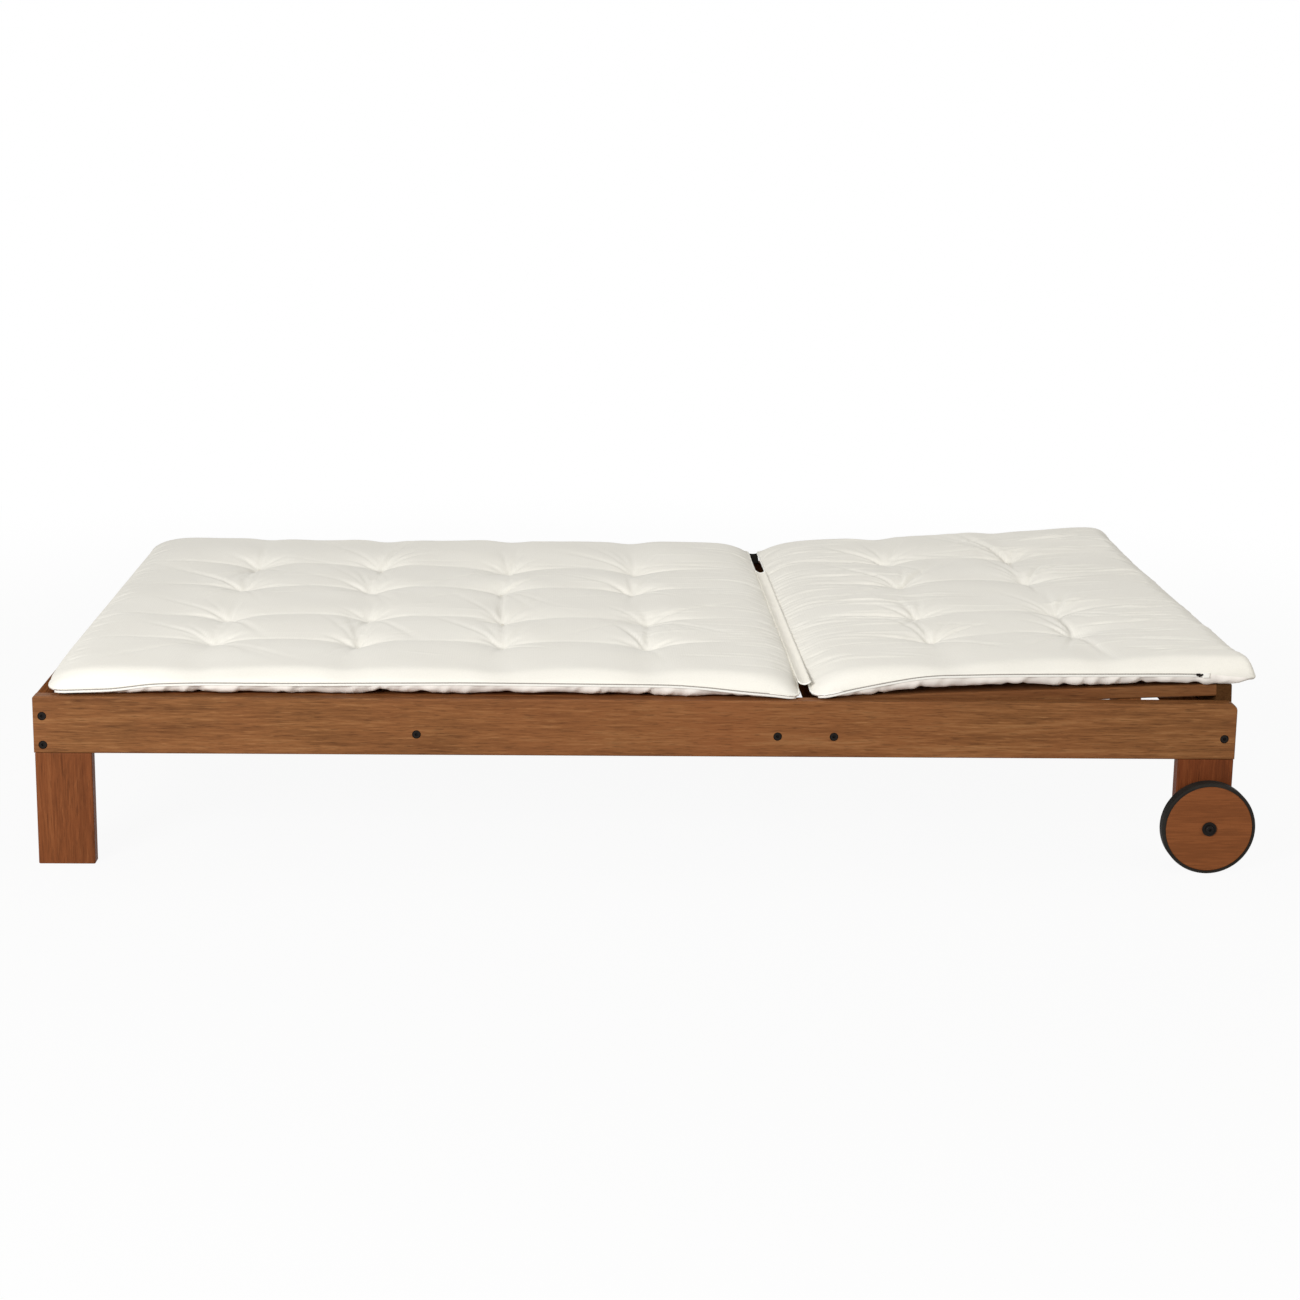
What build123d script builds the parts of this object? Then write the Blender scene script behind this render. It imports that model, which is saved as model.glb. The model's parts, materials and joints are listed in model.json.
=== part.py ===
from build123d import *
import os
from math import atan2, cos, degrees, hypot, radians, sin

# Double chaise lounger: a flat timber bed frame on two legs and two wheels, with a backrest
# that folds up on a cross rod, a swinging prop with its racks, and a tufted two-part cushion.
# Millimetres. X runs from the foot end to the head end, Y across, Z up from the floor.
# Pieces are built with X = 0 at the foot end, and to_origin moves them when they are saved.

# Timber frame
frame_length = 2000
frame_width = 1250
leg_height = 191
rail_height = 96
rail_thickness = 28
rail_head_corner = 13
rail_foot_corner = 4
edge_round = 3
beam_thickness = 28
foot_rail_setback = 1.5
head_rail_setback = 5.4
middle_beam_spacing = 600
rear_beam_setback = 94
hinge_beam_height = 66
head_rail_height = 70
ledger_height = 40
ledger_thickness = 24

# Legs and the posts that tie them to the rails
leg_width = 94
leg_setback = 1.5
head_leg_bottom = 40
post_thickness = 28
post_outer_inset = 4
post_inner_inset = 8
foot_post_bottom = 8

# Slats of the seat and of the backrest
slat_count = 8
slat_width = 82
slat_thickness = 20.5
slat_round = 3
slat_side_gap = 4
slat_recess = 0.5
seat_slat_end_gap = 2
seat_slat_overhang = 16

# Backrest, measured along its own slats from the hinge axis
hinge_from_head = 674
hinge_drop = 9
back_rest_slope = 2.24
back_slat_start = -12
back_end_setback = 3.5
back_end_thickness = 26
rest_clearance = 0.3
batten_places = (60, 206, 480)
batten_width = 38
batten_thickness = 20

# Hinge rod and its brackets
hinge_rod_radius = 5
running_clearance = 0.05
bracket_plate = 3
bracket_length = 46
bracket_eye_radius = 8.6
bracket_inset = 1
rod_end_gap = 3

# Prop: two bent arms with a brace, which drop into the notches of the racks
prop_pivot_along = 272
prop_pivot_drop = 25
prop_rod_radius = 5
prop_eye_radius = 9
prop_eye_width = 12
prop_bend_radius = 15
prop_brace_share = 0.72
prop_stop_angles = (15, 30, 45, 60)
rack_slope = 5.5
rack_thickness = 20
rack_lift = 6
rack_end_margin = 16
notch_depth = 9
notch_side_gap = 1.5
notch_ramp = 16
notch_clearance = 0.4
peg_end_gap = 3
prop_pin_radius = 4
prop_pin_head_radius = 6
prop_pin_head_height = 2.5
clevis_plate = 2.5
clevis_length = 34
clevis_ear_width = 20
clevis_side_play = 0.5

# Connector bolts with their barrel nuts
bolt_head_radius = 7
bolt_head_height = 5
bolt_head_chamfer = 0.8
bolt_sink = 0.5
bolt_shank_radius = 4
bolt_shank_length = 72
socket_flats = 5
socket_depth = 3
bolt_height = 35.5
foot_bolt_heights = (14, 63)
bolt_hole_clearance = 0.3
barrel_radius = 6
barrel_length = 22
barrel_from_end = 42
barrel_clearance = 0.2

# Wheels
wheel_radius = 78.5
wheel_width = 24.5
disc_radius = 73
axle_from_head = 43
axle_radius = 5
bush_radius = 8
bush_clearance = 0.03
wheel_side_play = 0.4
spacer_thickness = 3
washer_thickness = 2
washer_radius = 12
tyre_shoulder = 3.5
tongue_height = 4
tongue_width = 9
tongue_clearance = 0.2
disc_bevel = 1.2
nut_flats = 16
nut_height = 7
axle_thread_rest = 3

# Cushions
seat_cushion_start = 26
seat_cushion_setback = 48
back_cushion_start = -31
back_cushion_overhang = 26
cushion_side_inset = 9
cushion_side_draw = 6
cushion_seam_height = 24
cushion_edge_half = 3
cushion_crest = 46
cushion_tuft_crest = 42
cushion_channel = 37
cushion_tuft = 21
cushion_roll = 34
seat_tuft_first = 235.3
seat_tuft_last = 256.8
seat_tuft_columns = 4
back_tuft_first = 238
back_tuft_last = 242
back_tuft_columns = 2
tuft_row_inner = 132.4
tuft_row_outer = 340.1
back_corner_inset = 32
back_corner_length = 70
band_near_inset = 54
band_far_inset = 190
band_sag = 6
band_thickness = 1.6
band_gap = 0.5

# One length by which every cutting tool passes the face that it leaves
overrun = 2

# Worked out from the sizes above
half_width = frame_width / 2
inner_half = half_width - rail_thickness
rail_top = leg_height + rail_height
hinge_x = frame_length - hinge_from_head
hinge_height = rail_top - hinge_drop
rear_beam_x = hinge_x - rear_beam_setback
middle_beam_x = rear_beam_x - middle_beam_spacing
slat_top = rail_top - slat_recess
beam_top = slat_top - slat_thickness
hinge_beam_top = leg_height + hinge_beam_height
head_rail_top = leg_height + head_rail_height
foot_rail_face = foot_rail_setback + beam_thickness
head_rail_face = frame_length - head_rail_setback - beam_thickness
slat_field = inner_half - slat_side_gap
slat_pitch = (slat_field + slat_field - slat_width) / (slat_count - 1)
slat_places = [-slat_field + slat_width / 2 + i * slat_pitch for i in range(slat_count)]
half_slat = slat_thickness / 2
back_slat_end = hinge_from_head - back_end_setback - back_end_thickness
prop_side = slat_places[-1]
prop_reach = hypot(prop_pivot_along, prop_pivot_drop)
prop_rest_angle = rack_slope + back_rest_slope - degrees(atan2(prop_pivot_drop, prop_pivot_along))
wheel_inner_face = half_width + spacer_thickness + wheel_side_play
wheel_outer_face = wheel_inner_face + wheel_width
axle_height = wheel_radius
axle_x = frame_length - axle_from_head
seat_cushion_end = hinge_x - seat_cushion_setback
cushion_width = frame_width - cushion_side_inset - cushion_side_inset
back_cushion_end = hinge_from_head + back_cushion_overhang
slope = radians(back_rest_slope)
head_tip = (
    hinge_x
    + back_cushion_end * cos(slope)
    - (half_slat + rest_clearance + cushion_seam_height - cushion_edge_half) * sin(slope)
)
overall_length = max(head_tip, axle_x + wheel_radius)
to_origin = Pos(-overall_length / 2, 0, 0)
on_backrest = Location((hinge_x, 0, hinge_height), (0, -back_rest_slope, 0))


def block(x_from, x_to, y_from, y_to, z_from, z_to):
    """A squared piece between three pairs of faces."""
    size = Box(x_to - x_from, y_to - y_from, z_to - z_from, align=Align.MIN)
    return Pos(x_from, y_from, z_from) * size


def eased(piece, axis, radius):
    """The piece with its edges along one axis rounded."""
    return fillet(piece.edges().filter_by(axis), radius)


def bar_y(radius, y_from, y_to):
    """A round bar along Y."""
    return Pos(0, (y_from + y_to) / 2, 0) * Rot(90, 0, 0) * Cylinder(radius, y_to - y_from)


def near_side(piece):
    """The same piece on the near side, at negative Y."""
    return mirror(piece, about=Plane.XZ)


def both_sides(piece):
    """A piece of the far side with its partner, as one group."""
    return Compound([piece, near_side(piece)])


def rail_bolt_places():
    """Where connector bolts pass the far rail, as distance from the foot end and height."""
    foot_x = foot_rail_setback + beam_thickness / 2
    head_x = head_rail_face + beam_thickness / 2
    places = [(foot_x, leg_height + height) for height in foot_bolt_heights]
    for x in (middle_beam_x, rear_beam_x, hinge_x, head_x):
        places.append((x, leg_height + bolt_height))
    return places


def side_rail():
    """Far side rail, with its corners rounded and its connector bolts let in."""
    rail = block(0, frame_length, inner_half, half_width, leg_height, rail_top)
    corners = rail.edges().filter_by(Axis.Y)
    head_corners = corners.group_by(Axis.X)[-1]
    rail = fillet(head_corners.sort_by(Axis.Z)[-1], rail_head_corner)
    corners = rail.edges().filter_by(Axis.Y)
    rail = fillet(corners.group_by(Axis.X)[0].sort_by(Axis.Z)[-1], rail_foot_corner)
    outer = rail.faces().sort_by(Axis.Y)[-1]
    rail = fillet(outer.edges(), edge_round)
    seat = bolt_head_height + bolt_sink
    for x, z in rail_bolt_places():
        hole = bar_y(bolt_shank_radius + bolt_hole_clearance, inner_half - overrun, half_width)
        pocket = bar_y(bolt_head_radius + bolt_hole_clearance, half_width - seat, half_width + overrun)
        rail -= Pos(x, 0, z) * (hole + pocket)
    return rail


def bored_beam(x_from, thickness, z_from, z_to, bolt_heights):
    """A cross member between the rails, bored at both ends for bolts and barrel nuts."""
    beam = block(x_from, x_from + thickness, -inner_half, inner_half, z_from, z_to)
    beam = eased(beam, Axis.Y, edge_round)
    shank_end = half_width - bolt_sink - bolt_head_height - bolt_shank_length
    for height in bolt_heights:
        bore = bar_y(bolt_shank_radius + bolt_hole_clearance, shank_end - overrun, half_width)
        bore = Pos(x_from + thickness / 2, 0, leg_height + height) * bore
        barrel = Rot(0, 90, 0) * Cylinder(barrel_radius + barrel_clearance, thickness + overrun)
        barrel_y = inner_half - barrel_from_end
        barrel = Pos(x_from + thickness / 2, barrel_y, leg_height + height) * barrel
        beam -= bore + barrel
        beam -= near_side(bore + barrel)
    return beam


def leg(x_from, z_from):
    """Far leg, butted under the rail and flush with its outer face."""
    post = block(x_from, x_from + leg_width, inner_half, half_width, z_from, leg_height)
    post = eased(post, Axis.Z, edge_round)
    ends = post.faces().sort_by(Axis.Z)
    return fillet(ends[0].edges() + ends[-1].edges(), edge_round / 2)


def leg_post(leg_from, end_face, inward, z_from, z_top):
    """Post behind a far leg and the rail, with a shoulder that carries the end rail."""
    outer = leg_from + post_outer_inset
    inner = leg_from + leg_width - post_inner_inset
    if inward < 0:
        outer = leg_from + leg_width - post_outer_inset
        inner = leg_from + post_inner_inset
    outline = Polyline(
        (outer, z_from), (outer, leg_height), (end_face, leg_height),
        (end_face, z_top), (inner, z_top), (inner, z_from), close=True,
    )
    post = extrude(Plane.XZ * make_face(outline), -post_thickness)
    post = Pos(0, inner_half - post_thickness, 0) * post
    return post


def foot_leg_start():
    return leg_setback


def head_leg_start():
    return frame_length - leg_setback - leg_width


def head_leg():
    """Far leg at the head end, cut short above the floor and bored for the axle."""
    stump = leg(head_leg_start(), head_leg_bottom)
    return stump - axle_bore()


def head_post():
    post = leg_post(head_leg_start(), head_rail_face, -1, head_leg_bottom, head_rail_top)
    return post - axle_bore()


def axle_bore():
    bore = bar_y(axle_radius + bolt_hole_clearance, inner_half - post_thickness - overrun, half_width + overrun)
    return Pos(axle_x, 0, axle_height) * bore


def foot_ledger():
    """Batten on the foot rail that carries the ends of the seat slats."""
    side = inner_half - post_thickness
    face = foot_rail_face
    batten = block(face, face + ledger_thickness, -side, side, beam_top - ledger_height, beam_top)
    return eased(batten, Axis.Y, edge_round)


def seat_slat(y):
    """One slat of the seat, from the foot rail to just past the rear beam."""
    start = foot_rail_face + seat_slat_end_gap
    end = rear_beam_x + beam_thickness / 2 + seat_slat_overhang
    slat = block(start, end, y - slat_width / 2, y + slat_width / 2, beam_top, slat_top)
    return eased(slat, Axis.X, slat_round)


def back_slat(y):
    """One slat of the backrest, bored across at its foot for the hinge rod."""
    slat = block(back_slat_start, back_slat_end, y - slat_width / 2, y + slat_width / 2, -half_slat, half_slat)
    slat = eased(slat, Axis.X, slat_round)
    slat -= bar_y(hinge_rod_radius + bush_clearance, y - slat_width, y + slat_width)
    return on_backrest * slat


def back_end_rail():
    """Cross rail at the head of the backrest, planed level where it lies on the frame."""
    end = back_slat_end + back_end_thickness
    depth = rail_height
    rail = block(back_slat_end, end, -slat_field, slat_field, -depth, half_slat)
    upper = rail.edges().filter_by(Axis.Y).group_by(Axis.Z)[-1]
    rail = on_backrest * fillet(upper, edge_round)
    below = head_rail_top + rest_clearance
    level = block(hinge_x, frame_length + depth, -half_width, half_width, 0, below)
    return rail - level


def back_batten(along):
    """Batten under the back slats that ties them together."""
    top = -half_slat
    batten = block(along, along + batten_width, -slat_field, slat_field, top - batten_thickness, top)
    lower = batten.edges().filter_by(Axis.Y).group_by(Axis.Z)[0]
    return on_backrest * fillet(lower, edge_round)


def hinge_rod():
    """Rod that laces the foot ends of all the back slats."""
    end = inner_half - rod_end_gap
    return Pos(hinge_x, 0, hinge_height) * bar_y(hinge_rod_radius, -end, end)


def hinge_bracket(y):
    """Angle bracket on the hinge beam, whose upright eye carries the hinge rod."""
    rise = hinge_height - hinge_beam_top
    half_foot = beam_thickness / 2 - bracket_inset
    foot = block(-half_foot, half_foot, 0, bracket_length, 0, bracket_plate)
    outline = Polyline(
        (-half_foot, 0), (-bracket_eye_radius, rise), (bracket_eye_radius, rise), (half_foot, 0), close=True,
    )
    upright = make_face(outline) + Pos(0, rise) * Circle(bracket_eye_radius)
    upright -= Pos(0, rise) * Circle(hinge_rod_radius + running_clearance)
    upright = extrude(Plane.XZ * upright, -bracket_plate)
    screw_hole = Cylinder(bolt_shank_radius / 2, bracket_plate + overrun)
    for share in (1 / 3, 2 / 3):
        foot -= Pos(0, bracket_plate + bracket_length * share, bracket_plate / 2) * screw_hole
    return Pos(hinge_x, y - bracket_length / 2, hinge_beam_top) * (foot + upright)


def hinge_brackets():
    """Brackets in every second gap between the back slats."""
    gaps = [(slat_places[i] + slat_places[i + 1]) / 2 for i in range(0, slat_count - 1, 2)]
    return Compound([hinge_bracket(y) for y in gaps])


def prop_pivot():
    """Where the prop turns on the backrest, as X and Z at rest."""
    x = hinge_x + prop_pivot_along * cos(slope) + prop_pivot_drop * sin(slope)
    z = hinge_height + prop_pivot_along * sin(slope) - prop_pivot_drop * cos(slope)
    return x, z


def prop_location():
    """Places a prop piece that is built along X from its pivot."""
    x, z = prop_pivot()
    return Location((x, 0, z), (0, rack_slope + prop_rest_angle, 0))


def prop_arm():
    """Far arm: an eye on the pivot pin, a straight rod and a bent peg for the rack."""
    peg = inner_half - peg_end_gap - prop_side
    path = FilletPolyline((0, 0, 0), (prop_reach, 0, 0), (prop_reach, peg, 0), radius=prop_bend_radius)
    rod = sweep(Plane(path @ 0, z_dir=path % 0) * Circle(prop_rod_radius), path=path)
    eye = bar_y(prop_eye_radius, -prop_eye_width / 2, prop_eye_width / 2)
    bore = bar_y(prop_pin_radius + running_clearance, -prop_eye_width, prop_eye_width)
    return prop_location() * Pos(0, prop_side, 0) * (rod + eye - bore)


def prop_brace():
    """Round bar between the two arms, its ends coped to them."""
    brace = Pos(prop_reach * prop_brace_share, 0, 0) * bar_y(prop_rod_radius, -prop_side, prop_side)
    for side in (-prop_side, prop_side):
        brace -= Pos(prop_reach / 2, side, 0) * Rot(0, 90, 0) * Cylinder(prop_rod_radius, prop_reach)
    return prop_location() * brace


def prop_clevis():
    """Far clevis under the outer slat, with two ears beside the arm's eye."""
    ear_in = prop_eye_width / 2 + clevis_side_play
    ear_out = ear_in + clevis_plate
    drop = prop_pivot_drop - half_slat
    plate = block(-clevis_length / 2, clevis_length / 2, -ear_out, ear_out, drop - clevis_plate, drop)
    half_ear = clevis_ear_width / 2
    outline = Polyline((-half_ear, 0), (-half_ear, drop), (half_ear, drop), (half_ear, 0), close=True)
    side = make_face(outline) + Circle(half_ear)
    side -= Circle(prop_pin_radius + bush_clearance)
    ear = extrude(Plane.XZ * side, -clevis_plate)
    ears = Pos(0, ear_in, 0) * ear + Pos(0, -ear_out, 0) * ear
    return on_backrest * Pos(prop_pivot_along, prop_side, -prop_pivot_drop) * (plate + ears)


def prop_pin():
    """Far pin through the clevis ears and the arm's eye, with a head at each end."""
    reach = prop_eye_width / 2 + clevis_side_play + clevis_plate + rest_clearance
    pin = bar_y(prop_pin_radius, -reach, reach)
    head = bar_y(prop_pin_head_radius, reach, reach + prop_pin_head_height)
    pin += head
    pin += near_side(head)
    return on_backrest * Pos(prop_pivot_along, prop_side, -prop_pivot_drop) * pin


def prop_distance(angle):
    """How far from the hinge axis the prop's foot stands when the backrest is raised by angle."""
    return (prop_reach + prop_reach) * cos(radians(prop_rest_angle + angle))


def on_rack_line(along, above):
    """A point of the sloping line that the prop's foot follows, as X and Z."""
    tilt = radians(rack_slope)
    x = hinge_x + along * cos(tilt) + above * sin(tilt)
    z = hinge_height - along * sin(tilt) + above * cos(tilt)
    return x, z


def prop_rack():
    """Far rack: a tapered batten on the rail with a hooked notch for every stop."""
    tip = -prop_rod_radius - notch_clearance
    gap = prop_rod_radius + notch_side_gap
    stops = sorted(prop_distance(angle) for angle in prop_stop_angles)
    first = stops[0] - notch_ramp - rack_end_margin
    last = prop_distance(0) + rack_end_margin
    bottom = leg_height + rack_lift
    points = [(on_rack_line(first, tip)[0], bottom), on_rack_line(first, tip)]
    for place in stops:
        points.append(on_rack_line(place - notch_ramp, tip))
        points.append(on_rack_line(place - gap / 2, tip - notch_depth))
        points.append(on_rack_line(place + gap, tip - notch_depth))
        points.append(on_rack_line(place + gap, tip))
    points.append(on_rack_line(last, tip))
    points.append((on_rack_line(last, tip)[0], bottom))
    board = extrude(Plane.XZ * make_face(Polyline(*points, close=True)), -rack_thickness)
    return Pos(0, inner_half - rack_thickness, 0) * board


def connector_bolt():
    """Bolt along Y with a flat socket head, whose face lies at Y = 0."""
    head = Pos(0, 0, -bolt_head_height / 2) * Cylinder(bolt_head_radius, bolt_head_height)
    head = chamfer(head.edges().group_by(Axis.Z)[-1], bolt_head_chamfer)
    head -= socket()
    shank_z = -bolt_head_height - bolt_shank_length / 2
    shank = Pos(0, 0, shank_z) * Cylinder(bolt_shank_radius, bolt_shank_length)
    return Rot(-90, 0, 0) * (head + shank)


def socket():
    """Hexagon socket that is cut down from Z = 0."""
    hexagon = RegularPolygon(socket_flats / 2, 6, major_radius=False)
    return extrude(hexagon, -socket_depth)


def rail_bolts():
    """All the connector bolts of both rails."""
    bolt = Pos(0, half_width - bolt_sink, 0) * connector_bolt()
    bolts = [Pos(x, 0, z) * bolt for x, z in rail_bolt_places()]
    return Compound(bolts + [near_side(piece) for piece in bolts])


def barrel_nuts():
    """The barrel nut of every connector bolt, across the end of its beam."""
    nut = Rot(0, 90, 0) * Cylinder(barrel_radius, barrel_length)
    thread = bar_y(bolt_shank_radius + running_clearance, -barrel_radius - overrun, barrel_radius + overrun)
    nut = Pos(0, inner_half - barrel_from_end, 0) * (nut - thread)
    nuts = [Pos(x, 0, z) * nut for x, z in rail_bolt_places()]
    return Compound(nuts + [near_side(piece) for piece in nuts])


def on_axle(piece):
    return Pos(axle_x, 0, axle_height) * piece


def wheel_disc():
    """Far wheel disc, turned with a groove for the tyre and bored for its bush."""
    middle = (wheel_inner_face + wheel_outer_face) / 2
    disc = bar_y(disc_radius, wheel_inner_face, wheel_outer_face)
    disc = chamfer(disc.edges().filter_by(GeomType.CIRCLE), disc_bevel)
    half_groove = tongue_width / 2 + tongue_clearance
    groove = bar_y(disc_radius + overrun, middle - half_groove, middle + half_groove)
    groove -= bar_y(disc_radius - tongue_height - tongue_clearance, wheel_inner_face, wheel_outer_face)
    disc -= groove
    disc -= bar_y(bush_radius + bush_clearance, wheel_inner_face - overrun, wheel_outer_face + overrun)
    return on_axle(disc)


def tyre():
    """Far tyre: a flat rubber band with round shoulders and a tongue in the disc's groove."""
    inside = disc_radius + bush_clearance
    half_width_of_tyre = wheel_width / 2
    band = Rectangle(wheel_radius - inside, wheel_width)
    band = Pos((wheel_radius + inside) / 2, 0) * band
    band = fillet(band.vertices().group_by(Axis.X)[-1], tyre_shoulder)
    tongue = Rectangle(tongue_height + tyre_shoulder, tongue_width)
    tongue = Pos(inside - tongue_height + (tongue_height + tyre_shoulder) / 2, 0) * tongue
    ring = revolve(Pos(0, wheel_inner_face + half_width_of_tyre, 0) * (band + tongue), Axis.Y)
    return on_axle(ring)


def wheel_bush():
    """Far sleeve pressed into the wheel, which turns on the axle bolt."""
    bush = bar_y(bush_radius, wheel_inner_face, wheel_outer_face)
    bush -= bar_y(axle_radius + running_clearance, wheel_inner_face - overrun, wheel_outer_face + overrun)
    return on_axle(bush)


def axle_bolt():
    """Far axle bolt, from its button head outside the wheel to its thread behind the post."""
    shoulder = wheel_outer_face + wheel_side_play + washer_thickness
    end = inner_half - post_thickness - washer_thickness - nut_height - axle_thread_rest
    shank = bar_y(axle_radius, end, shoulder)
    head = Pos(0, 0, bolt_head_height / 2) * Cylinder(bolt_head_radius, bolt_head_height)
    head = fillet(head.edges().group_by(Axis.Z)[-1], bolt_head_height / 2)
    head -= Pos(0, 0, bolt_head_height) * socket()
    return on_axle(shank + Pos(0, shoulder, 0) * Rot(-90, 0, 0) * head)


def washer(y_from, thickness):
    ring = bar_y(washer_radius, y_from, y_from + thickness)
    return ring - bar_y(axle_radius + running_clearance, y_from - overrun, y_from + thickness + overrun)


def axle_washers():
    """Spacer behind each wheel, washer before it and washer under each nut."""
    spacer = washer(half_width, spacer_thickness)
    outer = washer(wheel_outer_face + wheel_side_play, washer_thickness)
    inner = washer(inner_half - post_thickness - washer_thickness, washer_thickness)
    far = [on_axle(ring) for ring in (spacer, outer, inner)]
    return Compound(far + [near_side(ring) for ring in far])


def axle_nuts():
    """Hexagon nut on the inner end of each axle bolt."""
    start = inner_half - post_thickness - washer_thickness - nut_height
    hexagon = RegularPolygon(nut_flats / 2, 6, major_radius=False)
    hexagon -= Circle(axle_radius + running_clearance)
    nut = Pos(0, start, 0) * extrude(Plane.XZ * hexagon, -nut_height)
    return both_sides(on_axle(nut))


def cushion_section(x, half, crest, channel, lower):
    """Closed outline of a cushion across its length: five puffed ribs over a flat underside."""
    seam = cushion_seam_height
    flat = half - cushion_roll
    rows = [half, tuft_row_outer, tuft_row_inner, -tuft_row_inner, -tuft_row_outer, -half]
    heights = [seam, channel, channel, channel, channel, seam]
    outline = []
    for i in range(len(rows) - 1):
        middle = (rows[i] + rows[i + 1]) / 2
        start = (rows[i], heights[i])
        end = (rows[i + 1], heights[i + 1])
        outline.append(ThreePointArc(start, (middle, crest), end))
    rise = seam - lower
    bend = (cushion_roll**2 + rise**2) / (rise + rise)
    half_turn = atan2(cushion_roll, bend - rise) / 2
    turn = flat + bend * sin(half_turn)
    low = lower + bend * (1 - cos(half_turn))
    outline.append(ThreePointArc((-half, seam), (-turn, low), (-flat, lower)))
    outline.append(Line((-flat, lower), (flat, lower)))
    outline.append(ThreePointArc((flat, lower), (turn, low), (half, seam)))
    return Plane.YZ.offset(x) * make_face(outline)


def cushion(length, first, last, count, corner_inset):
    """Tufted cushion from X = 0, flat on Z = 0, thin at its two end seams."""
    pitch = (length - first - last) / (count - 1)
    columns = [first + i * pitch for i in range(count)]
    seam = cushion_seam_height
    edge = cushion_edge_half
    half = cushion_width / 2
    thin = (seam + edge, seam + edge / 2, seam - edge)
    shoulder = ((seam + cushion_crest) / 2 + edge, (seam + cushion_channel) / 2 + edge, seam / 3)
    full = (cushion_crest, cushion_channel, 0)
    pulled = (cushion_tuft_crest, cushion_tuft, 0)
    stations = [(0, thin), (first / 9, shoulder), (first / 2, full)]
    for i, column in enumerate(columns):
        stations.append((column, pulled))
        if i + 1 < len(columns):
            stations.append(((column + columns[i + 1]) / 2, full))
    stations += [(length - last / 2, full), (length - last / 9, shoulder), (length, thin)]
    sections = []
    for x, (crest, channel, lower) in stations:
        share = x / length
        width = half - cushion_side_draw * 4 * share * (1 - share)
        if x < back_corner_length:
            width -= corner_inset * (1 - x / back_corner_length)
        sections.append(cushion_section(x, width, crest, channel, lower))
    return loft(sections, ruled=True)


def seat_cushion():
    length = seat_cushion_end - seat_cushion_start
    pad = cushion(length, seat_tuft_first, seat_tuft_last, seat_tuft_columns, 0)
    return Pos(seat_cushion_start, 0, rail_top + rest_clearance) * pad


def back_cushion():
    """Back cushion, whose lower corners are rounded off so that they clear the side rails."""
    length = back_cushion_end - back_cushion_start
    pad = cushion(length, back_tuft_first, back_tuft_last, back_tuft_columns, back_corner_inset)
    return on_backrest * Pos(back_cushion_start, 0, half_slat + rest_clearance) * pad


def cushion_band():
    """Strip of cloth that joins the two cushions across the fold, sagging a little."""
    start = seat_cushion_end + band_gap
    end = hinge_x + back_cushion_start * cos(slope) - cushion_crest * sin(slope)
    seam = rail_top + rest_clearance + cushion_seam_height
    middle = (start + end) / 2
    upper = ThreePointArc((start, seam), (middle, seam - band_sag), (end, seam))
    low = seam - band_thickness
    lower = ThreePointArc((start, low), (middle, low - band_sag), (end, low))
    outline = [upper, Line((end, seam), (end, low)), lower, Line((start, low), (start, seam))]
    half = cushion_width / 2
    strip = extrude(Plane.XZ * make_face(outline), band_near_inset + band_far_inset - cushion_width)
    return Pos(0, band_near_inset - half, 0) * strip


def save(name, piece):
    """Writes one node, moved so that the origin lies on the floor under the middle."""
    export_step(to_origin * piece, f"parts/{name}.step")


def save_pair(name, piece):
    """Writes a far piece and its mirrored near partner as two nodes."""
    save(f"{name}_far", piece)
    save(f"{name}_near", near_side(piece))


def save_frame():
    save_pair("side_rail", side_rail())
    foot = bored_beam(foot_rail_setback, beam_thickness, leg_height, rail_top, foot_bolt_heights)
    head = bored_beam(head_rail_face, beam_thickness, leg_height, head_rail_top, (bolt_height,))
    save("foot_end_rail", foot)
    save("head_end_rail", head)
    beams = (("middle_beam", middle_beam_x, beam_top), ("rear_beam", rear_beam_x, beam_top),
             ("hinge_beam", hinge_x, hinge_beam_top))
    for name, x, top in beams:
        start = x - beam_thickness / 2
        save(name, bored_beam(start, beam_thickness, leg_height, top, (bolt_height,)))
    save_pair("foot_leg", leg(foot_leg_start(), 0))
    save_pair("head_leg", head_leg())
    save_pair("foot_post", leg_post(foot_leg_start(), foot_rail_face, 1, foot_post_bottom, beam_top))
    save_pair("head_post", head_post())
    save("foot_ledger", foot_ledger())
    for i, y in enumerate(slat_places):
        save(f"seat_slat_{i + 1}", seat_slat(y))
    save("rail_bolts", rail_bolts())
    save("barrel_nuts", barrel_nuts())
    save_pair("prop_rack", prop_rack())
    save("hinge_brackets", hinge_brackets())


def save_backrest():
    for i, y in enumerate(slat_places):
        save(f"back_slat_{i + 1}", back_slat(y))
    save("back_end_rail", back_end_rail())
    for i, along in enumerate(batten_places):
        save(f"back_batten_{i + 1}", back_batten(along))
    save("hinge_rod", hinge_rod())
    save("prop_clevises", both_sides(prop_clevis()))
    save("prop_pins", both_sides(prop_pin()))
    save_pair("prop_arm", prop_arm())
    save("prop_brace", prop_brace())


def save_wheels():
    save_pair("wheel_disc", wheel_disc())
    save_pair("tyre", tyre())
    save_pair("wheel_bush", wheel_bush())
    save("axle_bolts", both_sides(axle_bolt()))
    save("axle_washers", axle_washers())
    save("axle_nuts", axle_nuts())


def save_cushions():
    save("seat_cushion", seat_cushion())
    save("back_cushion", back_cushion())
    save("cushion_band", cushion_band())


os.makedirs("parts", exist_ok=True)
save_frame()
save_backrest()
save_wheels()
save_cushions()
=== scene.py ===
import json
import math
import bpy
import bmesh
import numpy as np
from mathutils import Matrix, Vector


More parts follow.
